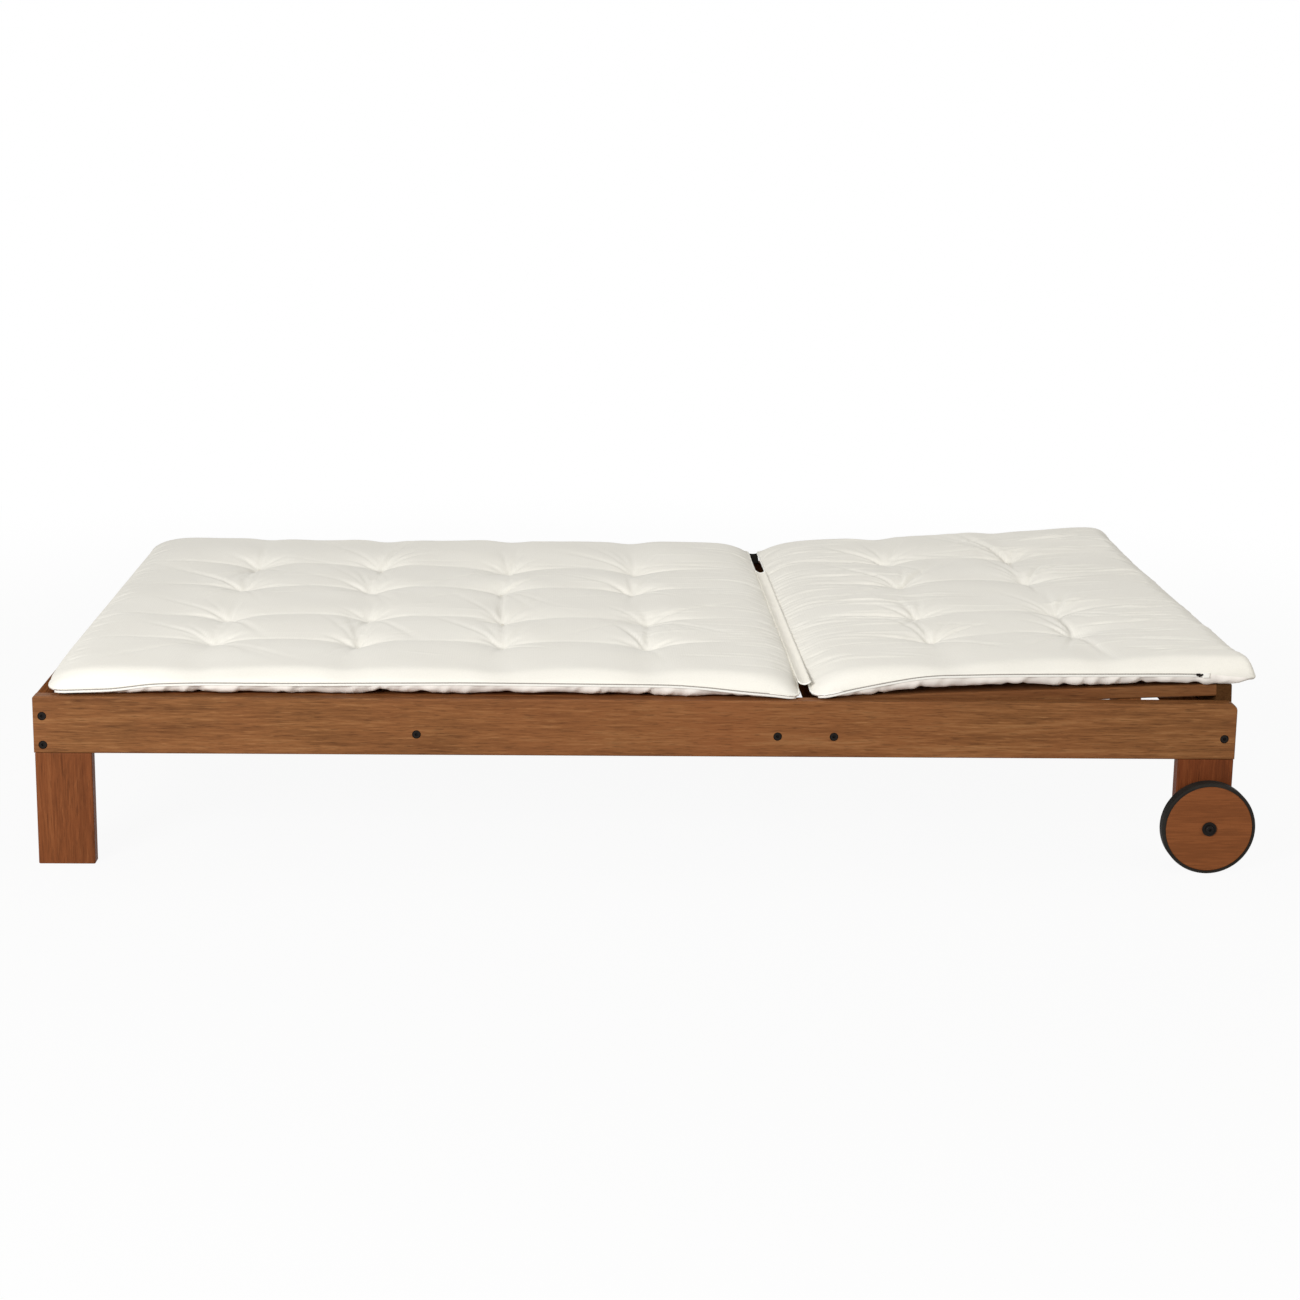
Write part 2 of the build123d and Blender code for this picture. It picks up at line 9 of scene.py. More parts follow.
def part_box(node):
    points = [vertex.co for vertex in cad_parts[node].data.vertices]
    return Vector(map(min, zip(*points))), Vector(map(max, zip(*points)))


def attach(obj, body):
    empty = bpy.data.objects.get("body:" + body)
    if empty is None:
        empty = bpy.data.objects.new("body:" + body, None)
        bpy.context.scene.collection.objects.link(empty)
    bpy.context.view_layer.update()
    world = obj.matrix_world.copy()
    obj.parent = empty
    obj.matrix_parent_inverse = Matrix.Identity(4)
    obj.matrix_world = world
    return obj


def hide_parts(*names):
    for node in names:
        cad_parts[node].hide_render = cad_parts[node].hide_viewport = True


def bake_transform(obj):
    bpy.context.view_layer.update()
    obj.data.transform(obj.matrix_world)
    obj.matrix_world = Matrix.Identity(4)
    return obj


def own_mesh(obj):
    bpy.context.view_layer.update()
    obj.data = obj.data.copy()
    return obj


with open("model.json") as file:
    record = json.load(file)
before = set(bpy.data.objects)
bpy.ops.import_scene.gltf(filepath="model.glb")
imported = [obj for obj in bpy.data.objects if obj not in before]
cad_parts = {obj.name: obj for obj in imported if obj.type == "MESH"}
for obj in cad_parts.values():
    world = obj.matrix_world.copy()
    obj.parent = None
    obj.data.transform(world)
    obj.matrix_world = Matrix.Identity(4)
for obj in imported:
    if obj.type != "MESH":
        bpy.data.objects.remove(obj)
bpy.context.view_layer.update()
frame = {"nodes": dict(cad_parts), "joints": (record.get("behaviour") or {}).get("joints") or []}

# A flat double chaise lounger in oiled hardwood with a tufted two-part cushion.
# The frame is in metres: X from the foot end to the head end, Y across, Z up.
# Cushions are shaped in millimetres, on their own flat underside, and then placed.
MM = 0.001

# The photograph's camera, fitted to the frame's corners, bolts, wheel and tufts
photo_width = 1300
focal_pixels = 2595.0
optical_centre_x = 624
pitch_down = math.radians(12.7465)
camera_roll = math.radians(-0.7438)
camera_yaw = math.radians(1.6089)
camera_place = Vector((-0.16057, -4.79651, 1.31655))

# Cushion heights: each one's crest, the crease between its tufts, and the tufts themselves
seam_height = 24
seat_heights = (38, 33.5, 20.5)
back_heights = (44.5, 40.5, 28.5)
hill_height = 1.1

# How much more the filling rises beyond the far row of tufts, at each cushion's two ends
seat_far_lift = (8, 8)
back_far_lift = (2, 13)
far_lift_from = 270
far_lift_over = 210

# How far the rolled edges reach inwards, and how far the sides are drawn in at the middle
side_roll = 44
head_side_roll = 26
end_roll = 34
under_roll = 22
under_end_softness = 13
side_draw = 6

# Reach of a row's crease to both sides, and its slopes beside a tuft, as (reach, steepness)
row_reach = 104
outer_row_more = 18
row_steepness = 2.3
near_tuft_slope = (100, 1.6)
far_tuft_slope = (80, 2.6)
# How fast a row's crease grows shallow between two tufts, and how it ends past the last one
between_tufts_power = 0.62
tuft_pit_reach = 26
row_tail = 200
# Depth and half width of the line along a row, and of the dent across a column of tufts
row_line_dent = (1.6, 4.0)
column_dent = (4.2, 34)
fine_crease_width = 4.5

# The end seam by the gap lies a little lower, and the near seam's height fades out inwards
gap_seam_dip = 3
gap_seam_reach = 60
near_seam_reach = 90
# How far inwards the near side's own softness of the ends goes, and how far from the head
# end the near side rolls more tightly
near_end_reach = 280
head_side_reach = 80

# The lining is flat on the wood where the near seam is this low, and hangs in soft
# pockets and puckers where it is higher
flat_seam = 8
lining_sway = 4
lining_pockets = 3.6
pucker_height = 4

# Side of a cell of the cloth, how long and how far air pressure moves it, and the radius
# that each tuft holds
cell = 8.6
swell_frames = 20
swell_limit = 3.5
tuft_hold = 7

# Seam cords, and how much wider the gap is and how far the seat reaches past its solid
seam_cord_radius = 1.7
cord_turn_rows = 12
band_gap_more = 10
foot_overhang = 6

# Heights of the near seam above the underside, as (place lengthwise, height)
seat_near_seam = (
    (0, 8), (42, 9.5), (120, 12), (165, 20), (250, 22.5), (400, 22), (700, 25),
    (1040, 24), (1110, 19), (1150, 14), (1209, 10), (1238, 6), (1252, 4),
)
back_near_seam = (
    (0, 4), (15, 6), (44, 12), (74, 18), (102, 22), (144, 29), (194, 35), (326, 33),
    (477, 28.5), (640, 24), (675, 21), (710, 16), (743, 13),
)

# Where the tufts are, in rows across and columns lengthwise, with how far each one strays
tuft_rows = (-340.1, -132.4, 132.4, 340.1)
seat_tuft_first = 241.3
seat_tuft_pitch = 253.3
back_tuft_first = 243
back_tuft_pitch = 251
seat_tuft_strays = (
    ((2, 1), (3, -5), (-2, 4), (3, 10)),
    ((0, 3), (7, 2), (-9, -2), (-6, 6)),
    ((-1, -8), (-4, -14), (-12, -8), (-2, -14)),
    ((0, -5), (6, -14), (-11, 0), (-1, -18)),
)
back_tuft_strays = (
    ((-9, -15), (-7, -30), (0, 0), (1, 16)),
    ((-5, -3), (-6, -25), (-7, 2), (-3, 3)),
)

# How the cushions lie on the slats
back_slope = math.radians(2.24)
back_start = -36
back_length = 743
back_underside = 10.55

# Where the joining band and the near-black strip of painted shade beyond its opening start
# and end across, and how far below the seam that strip hangs at both ends
band_reach = (-583, 384)
shade_strip_reach = (556, 604)
shade_strip_drop = (16, 6)

# How far both hang through, and the thickness and the hems of their cloth
band_slack = 5
shade_strip_slack = 1.5
cloth_thickness = 1.2
hem_radius = 1.5

# Zip along the near seam of both cushions, with the small parts at its pull in metres
zip_width = 5.6
zip_coil_radius = 0.95
zip_pull_along = 646
slider_size = (0.0065, 0.003, 0.0042)
tab_size = (0.0028, 0.0012, 0.0085)
tab_tilt = math.radians(62)
zip_fold_size = (0.012, 0.003, 0.009)

# The crossed stitch at every tuft
stitch_half = 3.2
stitch_lift = 0.8
stitch_radius = 0.55

# Stage and light
floor_reach = 9.0
floor_whiteness = 0.94
floor_clear_radius = 3.4
floor_fade_share = 0.62
ambient_strength = 0.34
lamp_aim = Vector((0, 0, 0.25))
lamps = (
    ("front_softbox", (-2.5, -4.3, 2.1), 1.6, 203, (1.0, 1.0, 1.0)),
    ("overhead_softbox", (0.2, 0.6, 3.6), 2.6, 34, (1.0, 1.0, 1.0)),
    ("side_softbox", (3.6, -2.2, 1.6), 2.0, 34, (1.0, 0.96, 0.88)),
)

hinge = next(j for j in frame["joints"] if j["name"] == "backrest_hinge")
hinge_place = Vector(hinge["pos_m"])
seat_low, seat_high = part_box("seat_cushion")
band_low, band_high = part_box("cushion_band")
cushion_half = (seat_high.y - seat_low.y) / 2 / MM
seat_start = seat_low.x - foot_overhang * MM
seat_length = (seat_high.x - seat_start) / MM - band_gap_more
place_seat = Matrix.Translation((seat_start, 0, seat_low.z))
place_back = (
    Matrix.Translation(hinge_place)
    @ Matrix.Rotation(-back_slope, 4, "Y")
    @ Matrix.Translation((back_start * MM, 0, back_underside * MM))
)


# Objects


def in_scene(name, data):
    """The object that shows a mesh, a lamp or a camera."""
    made = bpy.data.objects.new(name, data)
    bpy.context.scene.collection.objects.link(made)
    return made


def smooth_object(name, data):
    """The object of a mesh whose faces are shaded smooth."""
    data.polygons.foreach_set("use_smooth", [True] * len(data.polygons))
    data.update()
    return in_scene(name, data)


def new_mesh(name, points, faces):
    """A mesh from arrays or lists of points and faces."""
    data = bpy.data.meshes.new(name)
    data.from_pydata(np.asarray(points).reshape(-1, 3).tolist(), [], faces)
    return data


def grid_faces(order):
    """Faces between the neighbours of a grid of vertex numbers."""
    around = [order[:-1, :-1], order[1:, :-1], order[1:, 1:], order[:-1, 1:]]
    return np.stack(around, -1).reshape(-1, 4).tolist()


# Materials


def surface(name, colour, roughness):
    """A new material with its node tree and its main shader."""
    made = bpy.data.materials.new(name)
    made.use_nodes = True
    tree = made.node_tree
    shader = tree.nodes["Principled BSDF"]
    shader.inputs["Base Color"].default_value = (*colour, 1)
    shader.inputs["Roughness"].default_value = roughness
    return made, tree, shader


def add(tree, kind, values=None, **settings):
    """A new node with its settings and the values of its sockets."""
    made = tree.nodes.new(kind)
    for key, value in settings.items():
        setattr(made, key, value)
    for key, value in (values or {}).items():
        made.inputs[key].default_value = value
    return made


def object_place(tree, scale, shift=(0, 0, 0)):
    """Object coordinates, stretched and shifted."""
    place = add(tree, "ShaderNodeTexCoord")
    mapping = add(tree, "ShaderNodeMapping", {"Scale": scale, "Location": shift})
    tree.links.new(place.outputs["Object"], mapping.inputs["Vector"])
    return mapping.outputs["Vector"]


def noise(tree, vector, scale, detail=2.0, roughness=0.5, distortion=0.0):
    """Soft noise between 0 and 1."""
    made = add(tree, "ShaderNodeTexNoise", {
        "Scale": scale, "Detail": detail, "Roughness": roughness, "Distortion": distortion,
    })
    tree.links.new(vector, made.inputs["Vector"])
    return made.outputs["Fac"]


def ramp(tree, value, stops):
    """A colour ramp with stops as (place, colour)."""
    made = add(tree, "ShaderNodeValToRGB")
    elements = made.color_ramp.elements
    for place, colour in stops[1:-1]:
        elements.new(place).color = (*colour, 1)
    elements[0].position, elements[0].color = stops[0][0], (*stops[0][1], 1)
    elements[-1].position, elements[-1].color = stops[-1][0], (*stops[-1][1], 1)
    tree.links.new(value, made.inputs["Fac"])
    return made.outputs["Color"]


def grey(level):
    """A colour without a hue."""
    return (level, level, level)


def mixed_colour(tree, kind, share, first, second):
    """Two colours, sockets or fixed ones, mixed or multiplied by a share."""
    made = add(tree, "ShaderNodeMix", data_type="RGBA", blend_type=kind)
    if isinstance(share, bpy.types.NodeSocket):
        tree.links.new(share, made.inputs[0])
    else:
        made.inputs[0].default_value = share
    for socket, value in ((made.inputs[6], first), (made.inputs[7], second)):
        if isinstance(value, bpy.types.NodeSocket):
            tree.links.new(value, socket)
        else:
            socket.default_value = (*value, 1)
    return made.outputs[2]


def bumped(tree, shader, height, strength, distance):
    """Lets a height play in the shader's normal."""
    bump = add(tree, "ShaderNodeBump", {"Strength": strength, "Distance": distance})
    tree.links.new(height, bump.inputs["Height"])
    tree.links.new(bump.outputs["Normal"], shader.inputs["Normal"])


def scaled(colour, factor):
    """A colour made darker or brighter."""
    return tuple(channel_value * factor for channel_value in colour)


wood_dark = (0.105, 0.034, 0.010)
wood_middle = (0.195, 0.070, 0.0225)
wood_light = (0.300, 0.126, 0.046)
wood_red = (0.240, 0.072, 0.024)
grain_stretch = 0.06


def wood(along, tone, redness, evenness, shift):
    """Oiled hardwood with its grain along one axis, brighter, redder or plainer as asked."""
    made, tree, shader = surface(f"wood_{along}_{tone:g}_{redness:g}", wood_middle, 0.5)
    reddened = (tone, tone * (1 - redness), tone * (1 - 1.4 * redness))

    def shade(colour, factor=1.0):
        plain = [middle + (part - middle) * evenness for part, middle in zip(colour, wood_middle)]
        return tuple(part * tint * factor for part, tint in zip(plain, reddened))

    stretch = [1, 1, 1]
    stretch["XYZ".index(along)] = grain_stretch
    grain = object_place(tree, stretch, (shift, shift * 0.7, shift * 0.4))
    open_place = object_place(tree, (1, 1, 1), (shift, 0, 0))
    fibre = noise(tree, grain, 300, 5, 0.6, 0.15)
    band = noise(tree, grain, 42, 5, 0.6, 0.7)
    pores = noise(tree, grain, 560, 2, 0.6)
    streaks = noise(tree, grain, 330, 3, 0.65, 0.3)
    slow = noise(tree, open_place, 2.3, 3, 0.55, 0.4)
    figure = mixed_colour(tree, "MIX", 0.5, band, fibre)
    colour = ramp(tree, figure, (
        (0.34, shade(wood_dark)), (0.46, shade(wood_middle, 0.9)),
        (0.53, shade(wood_middle, 1.1)), (0.66, shade(wood_light)),
    ))
    red_share = ramp(tree, slow, ((0.42, grey(0.0)), (0.68, grey(0.55))))
    colour = mixed_colour(tree, "MIX", red_share, colour, shade(wood_red))
    light_share = ramp(tree, streaks, ((0.58, grey(0.0)), (0.72, grey(0.7 * evenness))))
    colour = mixed_colour(tree, "MIX", light_share, colour, shade(wood_light, 1.15))
    specks = ramp(tree, pores, ((0.34, grey(0.25)), (0.45, grey(1.0))))
    colour = mixed_colour(tree, "MULTIPLY", 0.5 * evenness, colour, specks)
    tree.links.new(colour, shader.inputs["Base Color"])
    gloss = ramp(tree, fibre, ((0.3, grey(0.44)), (0.7, grey(0.62))))
    tree.links.new(gloss, shader.inputs["Roughness"])
    bumped(tree, shader, fibre, 0.35, 0.0004)
    shader.inputs["Specular IOR Level"].default_value = 0.0 if along == "Y" else 0.1
    return made


def metal(name, colour, roughness, metallic, grain):
    """Coated or plated steel with a fine uneven finish."""
    made, tree, shader = surface(name, colour, roughness)
    shader.inputs["Metallic"].default_value = metallic
    shader.inputs["Specular IOR Level"].default_value = 0.1
    place = object_place(tree, (1, 1, 1))
    fine = noise(tree, place, grain, 4, 0.6)
    cloudy = noise(tree, place, 40, 3, 0.5)
    tinted = mixed_colour(tree, "MIX", cloudy, scaled(colour, 0.8), scaled(colour, 1.25))
    tree.links.new(tinted, shader.inputs["Base Color"])
    gloss = ramp(tree, fine, ((0.35, grey(roughness * 0.8)), (0.7, grey(min(1, roughness * 1.25)))))
    tree.links.new(gloss, shader.inputs["Roughness"])
    bumped(tree, shader, fine, 0.12, 0.0002)
    return made


def rubber():
    """Matt black rubber with a fine moulded grain and a little dust."""
    made, tree, shader = surface("tyre_rubber", (0.024, 0.021, 0.019), 0.72)
    place = object_place(tree, (1, 1, 1))
    dust = noise(tree, place, 28, 5, 0.6)
    grain = noise(tree, place, 900, 3, 0.6)
    colour = ramp(tree, dust, (
        (0.4, (0.013, 0.011, 0.009)), (0.62, (0.020, 0.017, 0.014)), (0.85, (0.040, 0.033, 0.026)),
    ))
    tree.links.new(colour, shader.inputs["Base Color"])
    bumped(tree, shader, grain, 0.25, 0.0003)
    shader.inputs["Specular IOR Level"].default_value = 0.12
    return made


def plastic():
    """Dark moulded nylon."""
    made, tree, shader = surface("bush_nylon", (0.05, 0.048, 0.045), 0.45)
    grain = noise(tree, object_place(tree, (1, 1, 1)), 700, 3, 0.5)
    colour = ramp(tree, grain, ((0.3, (0.04, 0.038, 0.036)), (0.7, (0.06, 0.057, 0.053))))
    tree.links.new(colour, shader.inputs["Base Color"])
    bumped(tree, shader, grain, 0.1, 0.0002)
    return made


weave_threads_per_metre = 1500


def cloth(name, colour, shade, weave_strength, sheen=0.08, gloss=0.15):
    """Plain-woven outdoor cloth: a weave, slubs, and cloudy changes of shade."""
    made, tree, shader = surface(name, colour, 0.9)
    place = object_place(tree, (1, 1, 1))
    threads = []
    for direction in ("X", "Y"):
        wave = add(tree, "ShaderNodeTexWave", {
            "Scale": weave_threads_per_metre / 20, "Distortion": 0.6, "Detail": 1.5,
            "Detail Scale": 3.0,
        }, wave_type="BANDS", bands_direction=direction)
        tree.links.new(place, wave.inputs["Vector"])
        threads.append(wave.outputs["Fac"])
    slubs = noise(tree, place, 420, 4, 0.6)
    cloudy = noise(tree, place, 7, 4, 0.55)
    weave = mixed_colour(tree, "MIX", 0.5, threads[0], threads[1])
    weave = mixed_colour(tree, "MIX", 0.4, weave, slubs)
    tinted = mixed_colour(tree, "MIX", cloudy, colour, shade)
    speckled = ramp(tree, slubs, ((0.3, grey(0.93)), (0.6, grey(1.0))))
    tinted = mixed_colour(tree, "MULTIPLY", 0.6, tinted, speckled)
    tree.links.new(tinted, shader.inputs["Base Color"])
    bumped(tree, shader, weave, weave_strength, 0.0003)
    shader.inputs["Sheen Weight"].default_value = sheen
    shader.inputs["Specular IOR Level"].default_value = gloss
    return made


def zip_coil():
    """Grey-beige zip with its fine coil across."""
    made, tree, shader = surface("zip_coil", (0.30, 0.275, 0.24), 0.6)
    place = object_place(tree, (1, 1, 1))
    coil = add(tree, "ShaderNodeTexWave", {"Scale": 120.0}, wave_type="BANDS", bands_direction="X")
    tree.links.new(place, coil.inputs["Vector"])
    colour = ramp(tree, coil.outputs["Fac"], ((0.2, (0.20, 0.18, 0.16)), (0.7, (0.36, 0.33, 0.29))))
    tree.links.new(colour, shader.inputs["Base Color"])
    bumped(tree, shader, coil.outputs["Fac"], 0.5, 0.0004)
    return made


cloth_colour = (0.850, 0.826, 0.756)
cloth_shade = (0.805, 0.776, 0.700)
top_cloth = cloth("cushion_cloth", cloth_colour, cloth_shade, 0.35)
# The lining is its own paler, warmer cloth, and its colour is raised further as painted light for its
# downward-facing side, which lamps barely reach
under_cloth = cloth("lining_cloth", (0.96, 0.92, 0.865), (0.93, 0.875, 0.81), 0.25)
band_cloth = cloth("band_cloth", (0.90, 0.865, 0.775), (0.86, 0.82, 0.73), 0.3)
cord_cloth = cloth("seam_cord_cloth", (0.90, 0.89, 0.84), (0.86, 0.84, 0.78), 0.2)
# Near-black matt cloth without sheen: painted shade, standing in for the deep shadow in the far opening
# between the cushions
shade_strip_cloth = cloth("shade_strip_cloth", (0.014, 0.012, 0.010), (0.018, 0.015, 0.013), 0.3, 0.0, 0.02)
thread = cloth("stitching_thread", (0.72, 0.69, 0.61), (0.66, 0.63, 0.55), 0.3)
zip_material = zip_coil()
black_steel = metal("black_steel", (0.010, 0.008, 0.007), 0.45, 0.1, 500)
zinc_steel = metal("zinc_steel", (0.022, 0.020, 0.018), 0.6, 0.15, 300)
prop_steel = metal("prop_steel", (0.030, 0.026, 0.023), 0.45, 0.3, 400)

slat_tones = (1.0, 0.86, 1.1, 0.93, 1.04, 0.82, 0.97, 1.08)
# The back slats are darker than the seat slats: painted shade for the slot under the back cushion
back_slat_shaded_tone = 0.8
grain_step = 0.37
# Each kind's brightness, redness, and how much of the figure's contrast it keeps. The head legs' lower
# brightness and higher redness are painted shade.
wood_looks = {
    "side_rail": (1.0, -0.12, 0.95), "back_slat": (1.0, -0.15, 0.9),
    # The head legs are darker and redder than the foot legs: painted shade
    "foot_leg": (0.85, 0.15, 0.75), "head_leg": (0.66, 0.29, 0.8), "foot_post": (0.8, 0.1, 1.0),
    "head_post": (0.7, 0.1, 1.0), "wheel_disc": (1.03, 0.1, 0.35), "back_end_rail": (0.37, -0.3, 0.9),
    "foot_end_rail": (0.85, 0.0, 1.0), "head_end_rail": (0.8, 0.0, 1.0), "prop_rack": (0.85, 0.0, 1.0),
    "foot_ledger": (0.8, 0.0, 1.0), "hinge_beam": (0.8, 0.0, 1.0), "rear_beam": (0.85, 0.0, 1.0),
    "middle_beam": (0.9, 0.0, 1.0),
}
upright = ("foot_leg", "head_leg", "foot_post", "head_post")
across = ("foot_end_rail", "head_end_rail", "middle_beam", "rear_beam", "hinge_beam", "foot_ledger",
          "back_batten", "back_end_rail")
plain_materials = {
    "rail_bolts": black_steel, "axle_bolts": black_steel, "axle_washers": black_steel,
    "axle_nuts": black_steel, "barrel_nuts": zinc_steel, "hinge_brackets": zinc_steel,
    "hinge_rod": zinc_steel, "prop_clevises": zinc_steel, "prop_pins": zinc_steel,
    "prop_arm": prop_steel, "prop_brace": prop_steel, "tyre": rubber(), "wheel_bush": plastic(),
}


def family(name):
    """A node's name without its number or its side."""
    stem = name.rsplit("_", 1)
    return stem[0] if stem[-1] in ("near", "far") or stem[-1].isdigit() else name


def dress_frame():
    """Gives every carried-over node its material."""
    woods = {}
    for name, node in frame["nodes"].items():
        kind = family(name)
        if kind in ("seat_cushion", "back_cushion", "cushion_band"):
            continue
        if kind in plain_materials:
            node.material_slots[0].material = plain_materials[kind]
            continue
        along = "Z" if kind in upright else "Y" if kind in across else "X"
        tone, redness, evenness = wood_looks.get(kind, (1.0, 0.0, 1.0))
        if kind in ("seat_slat", "back_slat"):
            tone = slat_tones[int(name[-1]) - 1] * (back_slat_shaded_tone if kind == "back_slat" else 1.0)
        key = (along, round(tone, 3), redness, evenness)
        if key not in woods:
            woods[key] = wood(*key, grain_step * len(woods))
        node.material_slots[0].material = woods[key]


# Cushions


def graded(length, roll):
    """Places from 0 to length: close together in the rolled edges, even between."""
    steps = max(3, round(roll * 1.1 / cell))
    edge = [roll * (1 - math.cos(math.pi / 2 * i / steps)) for i in range(steps)]
    count = round((length - roll - roll) / cell)
    middle = [roll + (length - roll - roll) * i / count for i in range(count + 1)]
    return np.array(edge + middle + [length - place for place in reversed(edge)])


def side_shape(distance, roll):
    """Quarter-round rise from 0 at an edge to 1."""
    return np.sqrt(1 - (1 - np.clip(distance / roll, 0, 1)) ** 2)


def end_shape(distance, softness):
    """Slow rise from 0 at an end seam towards 1."""
    return 1 - np.exp(-distance / softness)


def smooth(value):
    """Eased rise from 0 to 1 as the value goes from 0 to 1."""
    value = np.clip(value, 0, 1)
    return value * value * (3 - 2 * value)


def bell(distance, reach):
    """1 in the middle, falling off evenly on both sides."""
    return np.exp(-((distance / reach) ** 2))


def slope(distance, reach, steepness):
    """1 at no distance, falling to 0 at the reach, at first faster where it is steep."""
    return (1 - np.clip(distance / reach, 0, 1)) ** steepness


def waves(x, y, seed, count, shortest, longest):
    """Soft random hills between about -1 and 1, with wavelengths between two sizes."""
    rng = np.random.default_rng(seed)
    total = np.zeros_like(x)
    for _ in range(count):
        size = rng.uniform(shortest, longest)
        turn = rng.uniform(0, 2 * math.pi)
        phase = rng.uniform(0, 2 * math.pi)
        total += np.sin((x * math.cos(turn) + y * math.sin(turn)) * 2 * math.pi / size + phase)
    return total / math.sqrt(count)


def folds(x, y, seed, count, zone, reach, width, height, lean):
    """Narrow creases that run lengthwise, each fading out at both ends."""
    rng = np.random.default_rng(seed)
    total = np.zeros_like(x)
    for _ in range(count):
        centre_x = rng.uniform(zone[0], zone[1])
        centre_y = rng.uniform(zone[2], zone[3])
        half = rng.uniform(*reach) / 2
        wide = rng.uniform(*width)
        tall = rng.uniform(*height) * rng.choice((1, 1, -1))
        turn = rng.uniform(-lean, lean)
        bow = rng.uniform(-1, 1) * 0.0009
        along = (x - centre_x) * math.cos(turn) + (y - centre_y) * math.sin(turn)
        aside = (y - centre_y) * math.cos(turn) - (x - centre_x) * math.sin(turn) + bow * along**2
        fade = smooth(1.25 - np.abs(along) / half)
        total += tall * fade * bell(aside, wide)
    return total


def tuft_folds(x, y, tufts, seed, count, reach, depth, spread=math.pi):
    """Creases that run out from every tuft and widen as they fade."""
    rng = np.random.default_rng(seed)
    total = np.zeros_like(x)
    for tuft_x, tuft_y in tufts:
        for _ in range(count):
            turn = math.pi / 2 * rng.choice((1, 1, -1)) + rng.uniform(-spread, spread)
            far = rng.uniform(*reach)
            deep = rng.uniform(*depth)
            along = (x - tuft_x) * math.cos(turn) + (y - tuft_y) * math.sin(turn)
            aside = (y - tuft_y) * math.cos(turn) - (x - tuft_x) * math.sin(turn)
            wide = 2.4 + 0.035 * np.clip(along, 0, None)
            fade = smooth(along / 14) * smooth(1.3 - along / far)
            total -= deep * fade * bell(aside, wide)
    return total


